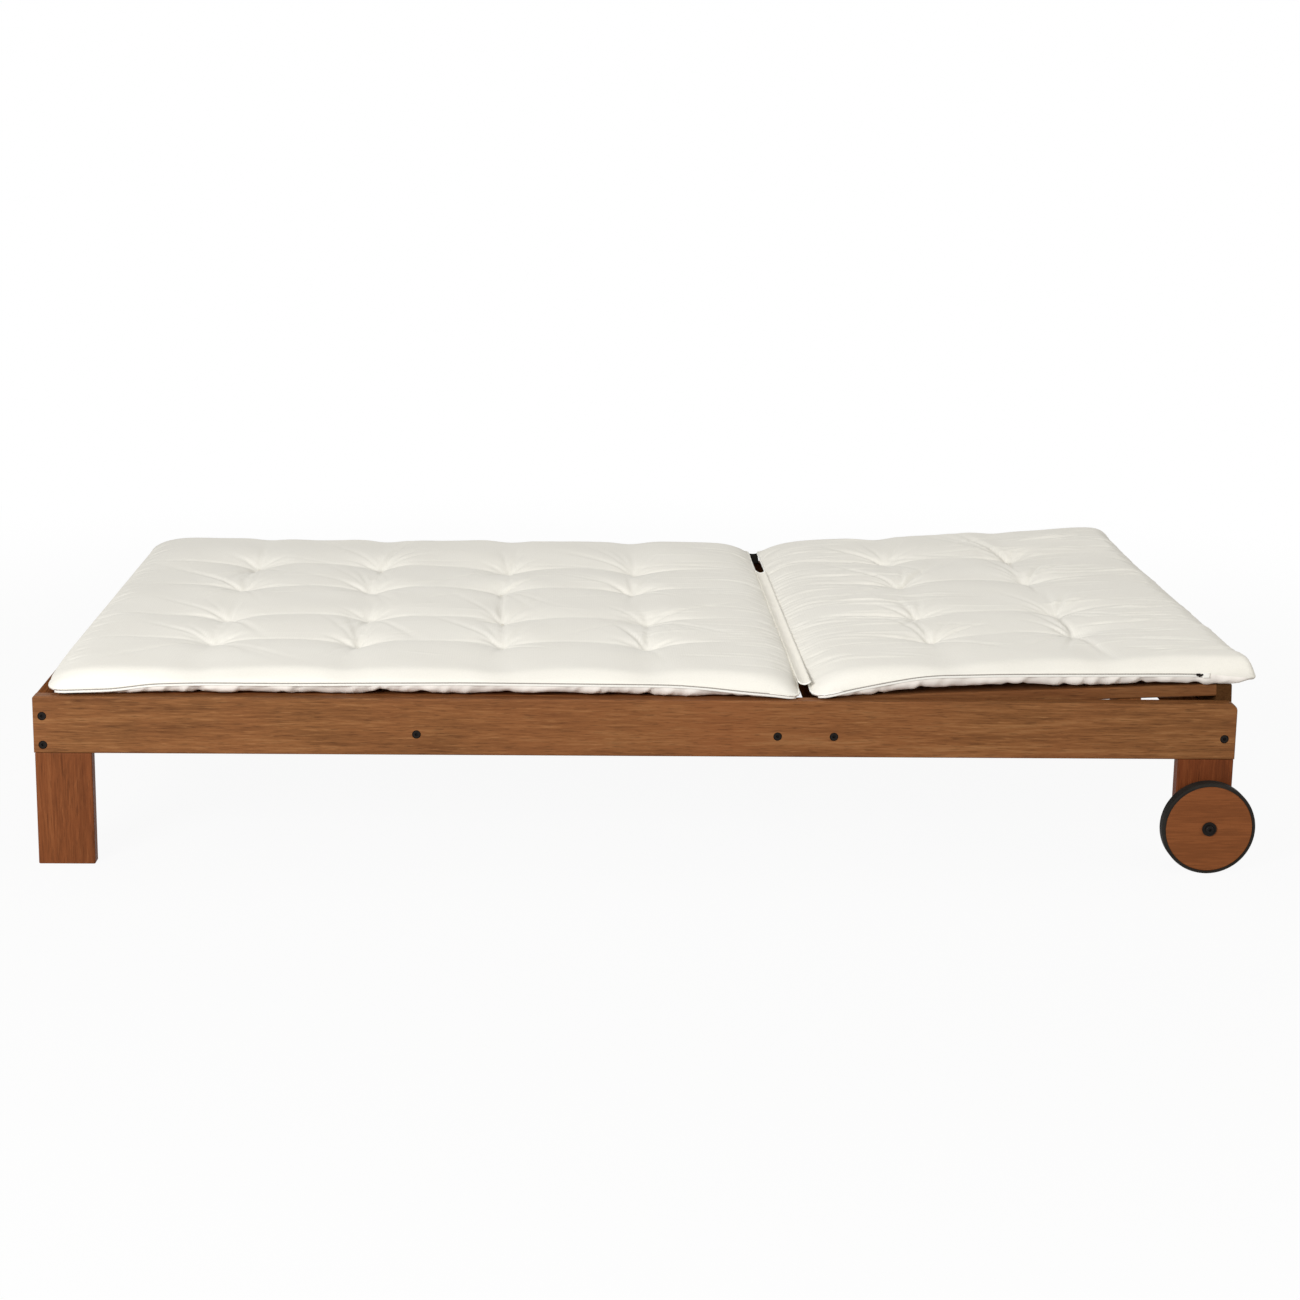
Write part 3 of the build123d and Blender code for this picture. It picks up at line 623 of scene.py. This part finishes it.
class Cushion:
    """A tufted cushion as two grids of points that share the seam all round.

    Each of its ends is given as its kind, its near and far corner's radius, and the softness
    of its rise at the near side and elsewhere. The fold gain makes all fine folds stronger.
    """

    def __init__(self, length, columns, strays, heights, near_seam, ends, far_lift, fold_gain, seed):
        self.length = length
        self.near_seam = near_seam
        self.ends = ends
        self.gap_end = "start" if ends[0][0] == "gap" else "end"
        self.far_lift = far_lift
        self.fold_gain = fold_gain
        self.seed = seed
        self.tufts = [
            [(columns[c] + stray[0], tuft_rows[r] + stray[1]) for r, stray in enumerate(strays[c])]
            for c in range(len(columns))
        ]
        self.crest = heights[0]
        self.shallow = heights[0] - heights[1]
        self.deep = heights[0] - heights[2]
        across_places = graded(cushion_half * 2, side_roll) - cushion_half
        self.plan = np.meshgrid(graded(length, end_roll), across_places, indexing="ij")
        self.top, self.under = self.shape(*self.plan)

    def half_width(self, x, y):
        """Half the width at each place, drawn in at the middle and rounded at the corners."""
        share = x / self.length
        half = cushion_half - side_draw * 4 * share * (1 - share)
        for distance, (_, near_corner, far_corner, _, _) in zip((x, self.length - x), self.ends):
            corner = np.where(y > 0, far_corner, near_corner)
            inset = corner * (1 - side_shape(distance, corner))
            half = half - np.where(distance < corner, inset, 0)
        return half

    def seam(self, x, y):
        """Height of the seam: uneven along the near side, level elsewhere."""
        near = eased(x, self.near_seam)
        gap = x if self.gap_end == "start" else self.length - x
        far = seam_height - gap_seam_dip * bell(gap, gap_seam_reach)
        near_share = np.exp(-((np.maximum(y + cushion_half, 0) / near_seam_reach) ** 1.5))
        return far + (near - far) * near_share

    def lining_room(self, x, full):
        """0 where the near seam lies on the wood, rising to 1 where it is fully clear."""
        return np.clip((eased(x, self.near_seam) - flat_seam) / full, 0, 1)

    def lining(self, x, y):
        """How far the lining's lower edge hangs clear of the wood along the near side."""
        high_seam = 0.8 * np.maximum(eased(x, self.near_seam) - 22, 0)
        sway = np.clip(0.4 + 0.45 * waves(x, 0 * y, self.seed + 41, 10, 90, 330), 0, 1)
        pockets = np.clip(waves(x, 0 * y, self.seed + 42, 14, 20, 60) - 0.2, 0, 1.5)
        ends = smooth(x / 60) * smooth((self.length - x) / 60)
        hanging = (lining_sway * sway + lining_pockets * pockets) * self.lining_room(x, 12)
        return (high_seam + hanging) * ends * bell(y + cushion_half, near_seam_reach)

    def crown(self, x, y):
        """Height of the filled top, higher beyond its last row of tufts."""
        lift = self.far_lift[0] + (self.far_lift[1] - self.far_lift[0]) * x / self.length
        hills = hill_height * waves(x, y, self.seed, 14, 130, 420)
        return self.crest + lift * smooth((y - far_lift_from) / far_lift_over) + hills

    def row_line(self, x, row):
        """Where a row of tufts runs, and how deep its crease is, at each place."""
        xs = np.array([column[row][0] for column in self.tufts])
        ys = np.array([column[row][1] for column in self.tufts])
        line = np.interp(x, xs, ys)
        deep, shallow = self.deep, self.shallow
        depth = np.zeros_like(x)
        for i in range(len(xs) - 1):
            share = np.clip((x - xs[i]) / (xs[i + 1] - xs[i]), 0, 1)
            between = deep - (deep - shallow) * (4 * share * (1 - share)) ** between_tufts_power
            depth = np.where((x >= xs[i]) & (x <= xs[i + 1]), between, depth)
        for edge, sign in ((xs[0], -1), (xs[-1], 1)):
            beyond = (x - edge) * sign
            fade = (deep - shallow) * np.exp(-np.clip(beyond, 0, None) / tuft_pit_reach)
            fade = fade + shallow * smooth(1.08 - beyond / row_tail)
            depth = np.where(beyond > 0, fade, depth)
        return line, depth

    def shape(self, x, y_plain):
        """Points of the top and of the underside before the filling swells it."""
        half = self.half_width(x, y_plain)
        y = y_plain * half / cushion_half
        side = half - np.abs(y)
        start, end = x, self.length - x
        head_share = bell(end, head_side_reach) * (self.ends[1][0] == "head") * (y < 0)
        rise = side_shape(side, side_roll + (head_side_roll - side_roll) * head_share)
        near_share = bell(y + cushion_half, near_end_reach)
        for distance, (_, _, _, near_softness, softness) in zip((start, end), self.ends):
            rise *= end_shape(distance, softness + (near_softness - softness) * near_share)
        seam = self.seam(x, y)
        top = self.crown(x, y) - self.dip(x, y)
        low = side_shape(side, under_roll)
        for distance in (start, end):
            low *= end_shape(distance, under_end_softness)
        top_z = seam + (top - seam) * rise
        under_z = seam + (self.lining(x, y) - seam) * low
        return np.stack([x, y, top_z], -1), np.stack([x, y, under_z], -1)

    def dip(self, x, y):
        """How deep the rows and columns of tufts draw the top in."""
        dip = np.zeros_like(x)
        for row in range(len(tuft_rows)):
            line, depth = self.row_line(x, row)
            away = np.abs(y - line)
            reach = row_reach + outer_row_more * (row in (0, len(tuft_rows) - 1))
            shallow = np.minimum(depth, self.shallow)
            valley = shallow * slope(away, reach, row_steepness)
            beside = np.where(y < line, slope(away, *near_tuft_slope), slope(away, *far_tuft_slope))
            valley += (depth - shallow) * beside
            valley += row_line_dent[0] * depth / self.deep * bell(away, row_line_dent[1])
            dip = np.maximum(dip, valley) + 0.25 * np.minimum(dip, valley)
        for column in self.tufts:
            middle = np.interp(y, [tuft[1] for tuft in column], [tuft[0] for tuft in column])
            dip += column_dent[0] * bell(x - middle, column_dent[1]) * (1 - dip / (self.deep + 6))
        return dip

    def index(self):
        """Vertex numbers of the top and of the underside, with the seam shared."""
        rows, columns = self.top.shape[:2]
        top = np.arange(rows * columns).reshape(rows, columns)
        under = top.copy()
        inner = rows * columns + np.arange((rows - 2) * (columns - 2))
        under[1:-1, 1:-1] = inner.reshape(rows - 2, columns - 2)
        return top, under

    def mesh(self, name, place):
        """The closed mesh of both grids, in metres."""
        top, under = self.index()
        points = np.concatenate([self.top.reshape(-1, 3), self.under[1:-1, 1:-1].reshape(-1, 3)])
        top_faces = grid_faces(top)
        under_faces = [
            [first, fourth, third, second] for first, second, third, fourth in grid_faces(under)
        ]
        data = new_mesh(name, points * MM, top_faces + under_faces)
        data.transform(place)
        return smooth_object(name, data), len(top_faces)

    def swell(self):
        """Lets air pressure fill the top between its seam and its tufts, as cloth."""
        made, _ = self.mesh("swelling", Matrix.Identity(4))
        rows, columns = self.top.shape[:2]
        top, _ = self.index()
        held = np.ones(len(made.data.vertices))
        held[top[1:-1, 1:-1].ravel()] = 0
        x, y = self.plan[0], self.top[..., 1]
        for column in self.tufts:
            for tuft_x, tuft_y in column:
                near = np.hypot(x - tuft_x, y - tuft_y)
                place = np.unravel_index(np.argmin(near), near.shape)
                held[top[near < tuft_hold]] = 1
                held[top[place]] = 1
        pins = made.vertex_groups.new(name="held")
        pins.add([int(i) for i in np.nonzero(held)[0]], 1, "REPLACE")
        cloth_maker = made.modifiers.new("Cloth", "CLOTH")
        settings = cloth_maker.settings
        settings.quality = 5
        settings.mass = 0.25
        settings.tension_stiffness = 14
        settings.compression_stiffness = 10
        settings.shear_stiffness = 5
        settings.bending_stiffness = 0.35
        settings.vertex_group_mass = "held"
        settings.shrink_min = -0.02
        settings.use_pressure = True
        settings.uniform_pressure_force = 4
        settings.effector_weights.gravity = 0
        cloth_maker.collision_settings.use_collision = False
        scene = bpy.context.scene
        for step in range(1, swell_frames + 1):
            scene.frame_set(step)
        shaped = made.evaluated_get(bpy.context.evaluated_depsgraph_get())
        places = np.empty(len(made.data.vertices) * 3)
        shaped.data.vertices.foreach_get("co", places)
        places = places.reshape(-1, 3) / MM
        scene.frame_set(1)
        moved = places[: rows * columns].reshape(rows, columns, 3) - self.top
        # Beside the seams the cloth moves evenly, so that the rolled edge stays smooth
        side = (self.half_width(x, y) - np.abs(y))[..., None]
        even = evened(moved, 4)
        moved = even + (moved - even) * smooth((side - 45) / 50)
        far = np.maximum(np.linalg.norm(moved, axis=-1, keepdims=True), 0.001)
        self.top += moved / far * swell_limit * (1 - np.exp(-far / swell_limit))
        bpy.data.objects.remove(made)

    def refine(self):
        """Halves the cells with a smooth curve through the old points."""
        self.top, self.under = halved(self.top), halved(self.under)
        self.plan = [halved(part) for part in self.plan]
        ring = np.ones(self.top.shape[:2], bool)
        ring[1:-1, 1:-1] = False
        self.under[ring] = self.top[ring]

    def crease(self, zones, cross_creases):
        """Presses the fine folds into the top and puckers the lining."""
        x, y = self.plan[0], self.top[..., 1]
        side = self.half_width(x, y) - np.abs(y)
        open_part = smooth(side / 60) * smooth(x / 16) * smooth((self.length - x) / 16)
        tufts = [tuft for column in self.tufts for tuft in column]
        height = tuft_folds(x, y, tufts, self.seed + 1, count=8, reach=(30, 80), depth=(0.6, 1.7))
        height += tuft_folds(
            x, y, tufts, self.seed + 2, count=7, reach=(90, 250), depth=(1.0, 2.6), spread=0.9
        )
        for number, zone in enumerate(zones):
            height += folds(x, y, self.seed + 10 + number, *zone)
        for place, y_from, y_to, deep in cross_creases:
            fade = smooth((y - y_from) / 30) * smooth((y_to - y) / 30)
            height -= deep * fade * bell(x - place, fine_crease_width)
        normal = np.cross(np.gradient(self.top, axis=0), np.gradient(self.top, axis=1))
        normal /= np.maximum(np.linalg.norm(normal, axis=-1, keepdims=True), 1e-9)
        self.top += normal * (self.fold_gain * height * open_part)[..., None]
        self.pucker(x, y, side)

    def pucker(self, x, y, side):
        """Gathers the lining below the seams, and keeps it between the wood and the seam."""
        rolled = 4 * side_shape(side, under_roll) * (1 - side_shape(side, under_roll))
        rolled = np.where(side < under_roll, rolled, 0)
        gathers = waves(x, y * 0.2, self.seed + 40, 16, 30, 100)
        gathers += 0.7 * waves(x + 0.6 * y, y * 0.3, self.seed + 43, 16, 15, 34)
        room = self.lining_room(x, 14)
        self.under[..., 2] += pucker_height * rolled * room * np.maximum(gathers, -0.8)
        below_seam = self.seam(x, y) - 0.7 * np.minimum(side, 8)
        self.under[..., 2] = np.clip(self.under[..., 2], 0, np.maximum(below_seam, 0))


def halved(points):
    """A grid with one new line between every two, on a cubic through its neighbours."""
    for axis in (0, 1):
        moved = np.moveaxis(points, axis, 0)
        before = np.concatenate([moved[:1] * 2 - moved[1:2], moved[:-1]])
        after = np.concatenate([moved[1:], moved[-1:] * 2 - moved[-2:-1]])
        middle = (9 * (moved[:-1] + moved[1:]) - before[:-1] - after[1:]) / 16
        whole = np.empty((len(moved) * 2 - 1,) + moved.shape[1:])
        whole[::2] = moved
        whole[1::2] = middle
        points = np.moveaxis(whole, 0, axis)
    return points


def eased(x, stops):
    """Heights between stops, evened over a short way so that no corner shows."""
    places, heights = np.array(stops, float).T
    offsets = np.linspace(-28, 28, 9)
    return sum(np.interp(x + offset, places, heights) for offset in offsets) / len(offsets)


def evened(points, reach):
    """Every row of points averaged with its neighbours lengthwise."""
    padded = np.pad(points, ((reach, reach), (0, 0), (0, 0)), mode="edge")
    rows = len(points)
    return sum(padded[i:i + rows] for i in range(2 * reach + 1)) / (2 * reach + 1)


def carried(made, body):
    """Lets a piece of a cushion ride, and gives each backrest piece its own copy of its mesh."""
    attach(made, body)
    if body == "backrest":
        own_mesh(made)


def finished(cushion, name, node, place, body, zones, cross_creases):
    """Swells, creases and places a cushion, and lets it stand for its node's solid."""
    cushion.swell()
    cushion.refine()
    cushion.crease(zones, cross_creases)
    made, top_faces = cushion.mesh(name, place)
    made.data.materials.append(top_cloth)
    made.data.materials.append(under_cloth)
    indices = np.ones(len(made.data.polygons), np.int32)
    indices[:top_faces] = 0
    made.data.polygons.foreach_set("material_index", indices)
    carried(made, body)
    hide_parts(node)
    return made


def tube(name, points, radius, sides=10, flatten=(1, 1)):
    """A closed tube along a line of points in metres, flattened in width or height as asked."""
    points = np.asarray(points, float)
    count = len(points)
    ahead = np.gradient(points, axis=0)
    ahead /= np.linalg.norm(ahead, axis=1, keepdims=True)
    up = np.tile([0.0, 0.0, 1.0], (count, 1))
    if abs(ahead[0] @ up[0]) > 0.9:
        up = np.tile([1.0, 0.0, 0.0], (count, 1))
    right = np.cross(ahead, up)
    right /= np.linalg.norm(right, axis=1, keepdims=True)
    up = np.cross(right, ahead)
    turns = np.arange(sides) / sides * 2 * math.pi
    wide, tall = flatten
    ring = (np.cos(turns)[None, :, None] * right[:, None] * wide
            + np.sin(turns)[None, :, None] * up[:, None] * tall) * radius
    order = np.arange(count * sides).reshape(count, sides)
    following = np.roll(order, -1, axis=1)
    faces = np.stack([order[:-1], following[:-1], following[1:], order[1:]], -1).reshape(-1, 4).tolist()
    faces.append(order[0][::-1].tolist())
    faces.append(order[-1].tolist())
    return smooth_object(name, new_mesh(name, points[:, None] + ring, faces))


def joined(name, parts):
    """Several meshes as one object."""
    shape = bmesh.new()
    for part in parts:
        shape.from_mesh(part.data)
        bpy.data.objects.remove(part)
    data = bpy.data.meshes.new(name)
    shape.to_mesh(data)
    shape.free()
    return smooth_object(name, data)


def placed(points, place):
    """A cushion's own points in millimetres as points of the whole frame in metres."""
    turned = np.array(place.to_3x3())
    return np.asarray(points) * MM @ turned.T + np.array(place.translation)


def trim(made, material, body):
    """Dresses a small piece and lets it ride."""
    made.data.materials.append(material)
    carried(made, body)
    return made


def seam_cord(cushion, name, place, body, material):
    """Cord in the end seam by the gap, with its ends turned round the corners."""
    last = cushion.top.shape[0] - 1
    end = 0 if cushion.gap_end == "start" else last
    inward = 1 if end == 0 else -1
    corner_rows = [end + inward * i for i in range(cord_turn_rows, 0, -1)]
    near = cushion.top[corner_rows, 0]
    far = cushion.top[corner_rows[::-1], -1]
    points = np.concatenate([near, cushion.top[end], far])[::2]
    points[:, 0] -= inward * seam_cord_radius * 0.3
    made = tube(name, placed(points, place), seam_cord_radius * MM, 8)
    return trim(made, material, body)


def near_zip(cushion, name, place, body, first, last):
    """Zip tape with its coil, on the near seam between two places."""
    seam = cushion.top[:, 0]
    kept = seam[(seam[:, 0] >= first) & (seam[:, 0] <= last)]
    tape = kept + np.array([0, 0.0, -zip_width / 2])
    coil = kept + np.array([0, -0.5, -0.6])
    edge = tube(name + "_tape", placed(tape, place), zip_width / 2 * MM, 10, (0.2, 1))
    trim(edge, cord_cloth, body)
    made = tube(name, placed(coil, place), zip_coil_radius * MM, 8)
    return trim(made, zip_material, body)


def tuft_stitches(cushion, name, place, body):
    """A small crossed stitch that holds every tuft down."""
    x, y = cushion.plan[0], cushion.top[..., 1]
    parts = []
    for column in cushion.tufts:
        for tuft_x, tuft_y in column:
            near = np.hypot(x - tuft_x, y - tuft_y)
            centre = cushion.top[np.unravel_index(np.argmin(near), near.shape)]
            for turn in (0.6, 2.2):
                step = np.array([math.cos(turn), math.sin(turn), 0]) * stitch_half
                lift = np.array([0, 0, stitch_lift])
                points = [centre - step, centre - step / 2 + lift, centre + step / 2 + lift, centre + step]
                parts.append(tube("stitch", placed(points, place), stitch_radius * MM, 6))
    return trim(joined(name, parts), thread, body)


def rounded_block(name, size, bevel):
    """A small moulded block with rounded edges, at the origin."""
    shape = bmesh.new()
    bmesh.ops.create_cube(shape, size=1)
    bmesh.ops.scale(shape, vec=size, verts=shape.verts)
    bmesh.ops.bevel(shape, geom=shape.edges[:], offset=bevel, segments=3, profile=0.6, affect="EDGES")
    data = bpy.data.meshes.new(name)
    shape.to_mesh(data)
    shape.free()
    return smooth_object(name, data)


def zip_pull(cushion, place):
    """Slider and pull tab of the back cushion's zip, and the fold of cloth beside it."""
    seam = cushion.top[:, 0]
    spot = seam[np.argmin(np.abs(seam[:, 0] - zip_pull_along))]
    slider = rounded_block("slider", slider_size, 0.0008)
    slider.data.transform(Matrix.Translation(placed([spot + [0, -2.2, -1]], place)[0]))
    tab = rounded_block("tab", tab_size, 0.0005)
    turn = Matrix.Rotation(tab_tilt, 4, "Y")
    tab.data.transform(Matrix.Translation(placed([spot + [4.2, -2.8, -2.2]], place)[0]) @ turn)
    made = joined("zip_pull", [slider, tab])
    trim(made, black_steel, "backrest")
    fold = rounded_block("zip_fold", zip_fold_size, 0.0014)
    fold.data.transform(Matrix.Translation(placed([spot + [13, -1.6, -2.5]], place)[0]))
    trim(fold, cord_cloth, "backrest")


def cross_cloth(name, x_ends, y, heights, slack, material):
    """Cloth between the two end seams, a little slack, with a hem at each of its ends."""
    share = np.linspace(0, 1, 9)
    grid_share, grid_y = np.meshgrid(share, y, indexing="ij")
    x = x_ends[0] + (x_ends[1] - x_ends[0]) * grid_share
    arch = 4 * grid_share * (1 - grid_share)
    ripple = 0.1 * waves(grid_share * 30, grid_y / MM, 71, 10, 24, 120)
    points = np.stack([x, grid_y, heights + (ripple - 1) * arch * slack], -1)
    faces = grid_faces(np.arange(x.size).reshape(x.shape))
    made = smooth_object(name, new_mesh(name, points, faces))
    thicken = made.modifiers.new("Thickness", "SOLIDIFY")
    thicken.thickness = cloth_thickness * MM
    thicken.offset = -1
    made.data.materials.append(material)
    hems = []
    for number, end in enumerate((0, len(y) - 1)):
        hem = tube(f"{name}_hem_{number + 1}", points[:, end], hem_radius * MM, 8)
        hem.data.materials.append(cord_cloth)
        hems.append(hem)
    return made, hems


def cushion_band():
    """Strip of cloth between the two end seams, and the near-black strip of painted shade beyond its far
    opening.
    """
    height = seat_low.z + seam_height * MM
    x_ends = (seat_high.x - (band_gap_more + 0.2) * MM, band_high.x - 4.5 * MM)
    y = np.linspace(*band_reach, 170) * MM
    band, hems = cross_cloth("joining_band", x_ends, y, np.full_like(y, height), band_slack * MM,
                             band_cloth)
    # A near-black strip beyond the far opening: painted shade for the deep shadow there
    shade_strip_y = np.linspace(*shade_strip_reach, 9) * MM
    shade_strip_heights = height - np.linspace(*shade_strip_drop, 9) * MM
    shade_strip, shade_strip_hems = cross_cloth("far_shade_strip", x_ends, shade_strip_y, shade_strip_heights, shade_strip_slack * MM, shade_strip_cloth)
    for hem in shade_strip_hems:
        hem.data.materials[0] = shade_strip_cloth
    with_band = [*hems, shade_strip, *shade_strip_hems]
    for piece in (band, *with_band):
        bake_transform(piece)
    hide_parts("cushion_band")


def make_cushions():
    """Both cushions with their cords, zips and stitches, and the band between them.

    Zones of folds are given as their count, the field they lie in, and the ranges of their
    length, width and height, with how far they lean. A cross crease is its place, where it
    starts and ends across, and its depth.
    """
    seat_columns = [seat_tuft_first + i * seat_tuft_pitch for i in range(len(seat_tuft_strays))]
    seat_ends = (("foot", 34, 8, 26, 26), ("gap", 20, 12, 30, 36))
    seat = Cushion(seat_length, seat_columns, seat_tuft_strays, seat_heights,
                   seat_near_seam, seat_ends, seat_far_lift, 1.1, 11)
    seat_zones = (
        (46, (seat_length - 210, seat_length - 20, -560, 560), (90, 230), (2.6, 5), (0.5, 1.3), 0.12),
        (30, (150, seat_length - 200, -520, 520), (60, 190), (3, 6), (0.3, 0.8), 0.5),
    )
    seat_crosses = ((seat_columns[2] - 8, -118, 122, 2.6), (seat_columns[0] - 2, 150, 320, 1.6))
    finished(seat, "seat_pad", "seat_cushion", place_seat, "base", seat_zones, seat_crosses)
    back_columns = [back_tuft_first + i * back_tuft_pitch for i in range(len(back_tuft_strays))]
    back_ends = (("gap", 32, 16, 32, 40), ("head", 12, 14, 6, 13))
    back = Cushion(back_length, back_columns, back_tuft_strays, back_heights,
                   back_near_seam, back_ends, back_far_lift, 1.6, 23)
    back_zones = (
        (70, (25, 200, -560, 560), (90, 240), (2.6, 5), (0.6, 1.5), 0.14),
        (64, (back_length - 230, back_length - 40, -540, 540), (50, 150), (2.6, 4.5), (0.6, 1.5), 0.25),
        (30, (150, back_length - 180, -520, 520), (60, 200), (3, 6), (0.4, 1.0), 0.5),
    )
    finished(back, "back_pad", "back_cushion", place_back, "backrest", back_zones, ())
    seam_cord(seat, "seat_seam_cord", place_seat, "base", top_cloth)
    seam_cord(back, "back_seam_cord", place_back, "backrest", cord_cloth)
    near_zip(seat, "seat_zip", place_seat, "base", 10, seat_length - 3)
    near_zip(back, "back_zip", place_back, "backrest", 6, zip_pull_along + 10)
    tuft_stitches(seat, "seat_tuft_stitches", place_seat, "base")
    tuft_stitches(back, "back_tuft_stitches", place_back, "backrest")
    zip_pull(back, place_back)
    cushion_band()


# Stage, light and camera


def shown_rays(tree):
    """1 for rays that show the background itself, in the picture, in gloss or through glass."""
    path = add(tree, "ShaderNodeLightPath")
    total = path.outputs["Is Camera Ray"]
    for ray in ("Is Glossy Ray", "Is Transmission Ray"):
        more = add(tree, "ShaderNodeMath", operation="MAXIMUM")
        tree.links.new(total, more.inputs[0])
        tree.links.new(path.outputs[ray], more.inputs[1])
        total = more.outputs[0]
    return total


def make_floor():
    """Pale floor that keeps a soft shadow and fades into the white background."""
    corners = [(-floor_reach, -floor_reach, 0), (floor_reach, -floor_reach, 0),
               (floor_reach, floor_reach, 0), (-floor_reach, floor_reach, 0)]
    floor = in_scene("floor", new_mesh("floor", corners, [(0, 1, 2, 3)]))
    made, tree, shader = surface("floor_pale", (0.52, 0.51, 0.50), 0.95)
    shader.inputs["Specular IOR Level"].default_value = 0.0
    glow = add(tree, "ShaderNodeEmission", {"Color": (1, 1, 1, 1), "Strength": 1.0})
    place = object_place(tree, [1 / floor_clear_radius] * 3)
    far = add(tree, "ShaderNodeTexGradient", gradient_type="SPHERICAL")
    tree.links.new(place, far.inputs["Vector"])
    keep = add(tree, "ShaderNodeMapRange", {
        "From Min": 0.0, "From Max": floor_fade_share, "To Min": 1.0, "To Max": floor_whiteness,
    }, interpolation_type="SMOOTHSTEP")
    tree.links.new(far.outputs["Fac"], keep.inputs["Value"])
    share = add(tree, "ShaderNodeMath", operation="MULTIPLY")
    tree.links.new(shown_rays(tree), share.inputs[0])
    tree.links.new(keep.outputs["Result"], share.inputs[1])
    blend = add(tree, "ShaderNodeMixShader")
    tree.links.new(share.outputs[0], blend.inputs[0])
    tree.links.new(shader.outputs[0], blend.inputs[1])
    tree.links.new(glow.outputs[0], blend.inputs[2])
    tree.links.new(blend.outputs[0], tree.nodes["Material Output"].inputs["Surface"])
    floor.data.materials.append(made)


def make_world():
    """White where it is seen, and a soft even light elsewhere."""
    world = bpy.data.worlds.new("studio")
    bpy.context.scene.world = world
    world.use_nodes = True
    tree = world.node_tree
    background = tree.nodes["Background"]
    background.inputs["Color"].default_value = (1, 1, 1, 1)
    strength = add(tree, "ShaderNodeMapRange", {"To Min": ambient_strength, "To Max": 1.0})
    tree.links.new(shown_rays(tree), strength.inputs["Value"])
    tree.links.new(strength.outputs["Result"], background.inputs["Strength"])


def make_lamps():
    """The softboxes, all aimed at the lounger."""
    for name, place, size, power, colour in lamps:
        data = bpy.data.lights.new(name, "AREA")
        data.shape = "SQUARE"
        data.size = size
        data.energy = power
        data.color = colour
        lamp = in_scene(name, data)
        lamp.location = place
        aim = lamp_aim - Vector(place)
        lamp.rotation_euler = aim.to_track_quat("-Z", "Y").to_euler()


def make_camera():
    """The photograph's camera."""
    forward = Vector((
        math.sin(camera_yaw) * math.cos(pitch_down),
        math.cos(camera_yaw) * math.cos(pitch_down),
        -math.sin(pitch_down),
    ))
    right = Vector((math.cos(camera_yaw), -math.sin(camera_yaw), 0))
    down = forward.cross(right)
    rolled_right = right * math.cos(camera_roll) + down * math.sin(camera_roll)
    rolled_down = down * math.cos(camera_roll) - right * math.sin(camera_roll)
    data = bpy.data.cameras.new("photo_camera")
    data.sensor_width = 36
    data.lens = focal_pixels / photo_width * data.sensor_width
    data.shift_x = (photo_width / 2 - optical_centre_x) / photo_width
    camera = in_scene("photo_camera", data)
    axes = Matrix((rolled_right, -rolled_down, -forward)).transposed()
    camera.matrix_world = Matrix.Translation(camera_place) @ axes.to_4x4()
    bpy.context.scene.camera = camera


dress_frame()
make_cushions()
make_floor()
make_world()
make_lamps()
make_camera()
bpy.context.scene.view_settings.view_transform = "Standard"
